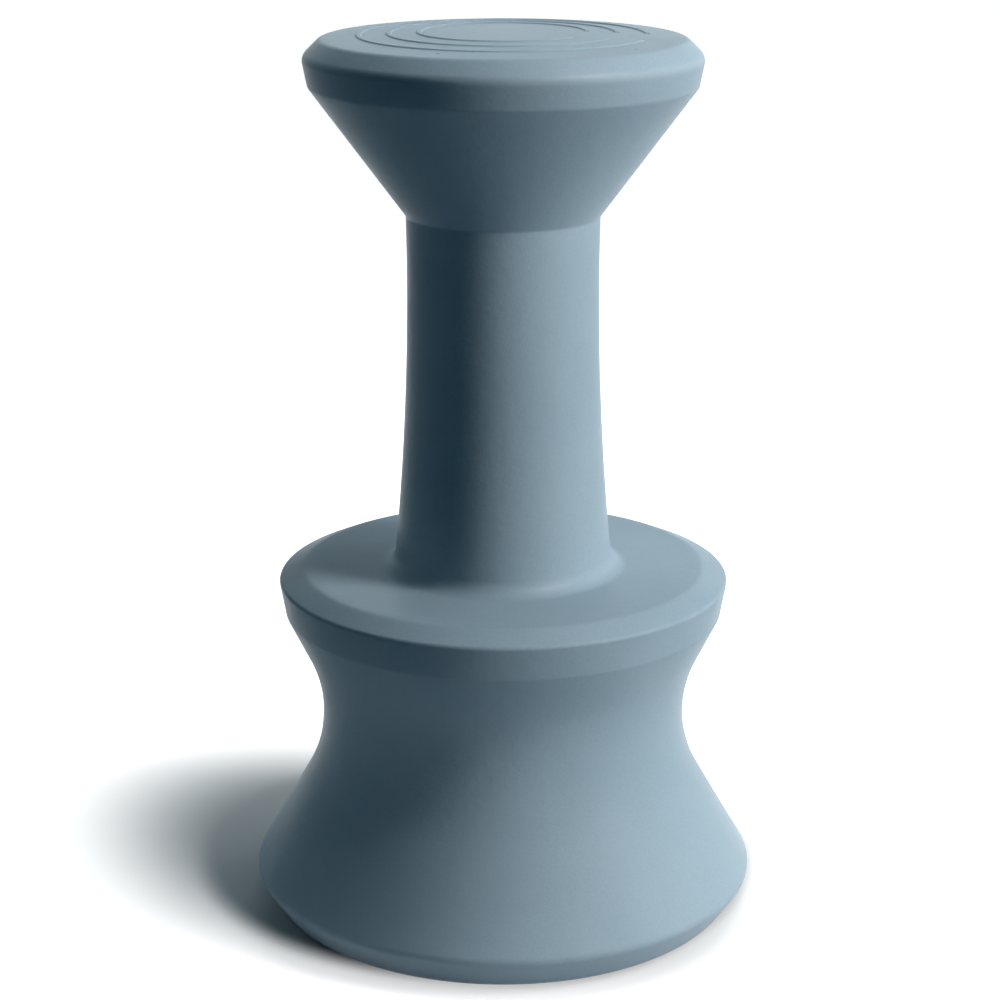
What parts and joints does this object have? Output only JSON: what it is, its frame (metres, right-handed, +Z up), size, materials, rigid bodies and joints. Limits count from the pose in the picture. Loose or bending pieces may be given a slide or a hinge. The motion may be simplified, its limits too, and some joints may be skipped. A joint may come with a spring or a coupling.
{
  "type": "pool bar stool",
  "caption": "Tall round moulded stool for standing in a pool: crowned seat, slim column, foot ledge, flared hollow base with screwed ballast plugs and rubber foot pads.",
  "frame": {"origin": "on the floor under the centre of the stool, at the underside of the foot pads", "axes": "+Z up along the stool's round axis; +X points over the vent port in the underside; the stool looks the same from every side"},
  "size_m": [0.4354, 0.4354, 0.762],
  "materials": {
    "shell_plastic": "satin, fine even grain",
    "port_plastic": "smooth moulded",
    "plug_plastic": "smooth moulded",
    "seal_rubber": "matt",
    "pad_rubber": "matt, non-marking",
    "stainless": "turned stainless steel",
    "brass": "machined"
  },
  "bodies": {
    "shell": {"stool_shell": "shell_plastic", "fill_port_insert": "port_plastic", "vent_port_insert": "port_plastic", "foot_pad_1": "pad_rubber", "foot_screw_1": "stainless", "foot_insert_1": "brass", "foot_pad_2": "pad_rubber", "foot_screw_2": "stainless", "foot_insert_2": "brass", "foot_pad_3": "pad_rubber", "foot_screw_3": "stainless", "foot_insert_3": "brass", "foot_pad_4": "pad_rubber", "foot_screw_4": "stainless", "foot_insert_4": "brass", "foot_pad_5": "pad_rubber", "foot_screw_5": "stainless", "foot_insert_5": "brass", "foot_pad_6": "pad_rubber", "foot_screw_6": "stainless", "foot_insert_6": "brass"},
    "fill_gasket": {"fill_plug_gasket": "seal_rubber"},
    "fill_plug": {"fill_plug": "plug_plastic"},
    "vent_gasket": {"vent_plug_gasket": "seal_rubber"},
    "vent_plug": {"vent_plug": "plug_plastic"}
  },
  "joints": [
    {"name": "fill_plug_travel", "type": "slide", "parent": "shell", "child": "fill_gasket", "axis": [0, 0, -1], "range_m": [0, 0.012]},
    {"name": "fill_plug_turn", "type": "hinge", "parent": "fill_gasket", "child": "fill_plug", "pos_m": [0, 0, 0.03], "axis": [0, 0, -1], "range_deg": [0, 1080]},
    {"name": "vent_plug_travel", "type": "slide", "parent": "shell", "child": "vent_gasket", "axis": [0, 0, -1], "range_m": [0, 0.009]},
    {"name": "vent_plug_turn", "type": "hinge", "parent": "vent_gasket", "child": "vent_plug", "pos_m": [0.085, 0, 0.03], "axis": [0, 0, -1], "range_deg": [0, 1080]}
  ],
  "couplings": [
    {"joint": "fill_plug_turn", "follows": "fill_plug_travel", "rad_per_m": 1570.8},
    {"joint": "vent_plug_turn", "follows": "vent_plug_travel", "rad_per_m": 2094.4}
  ]
}
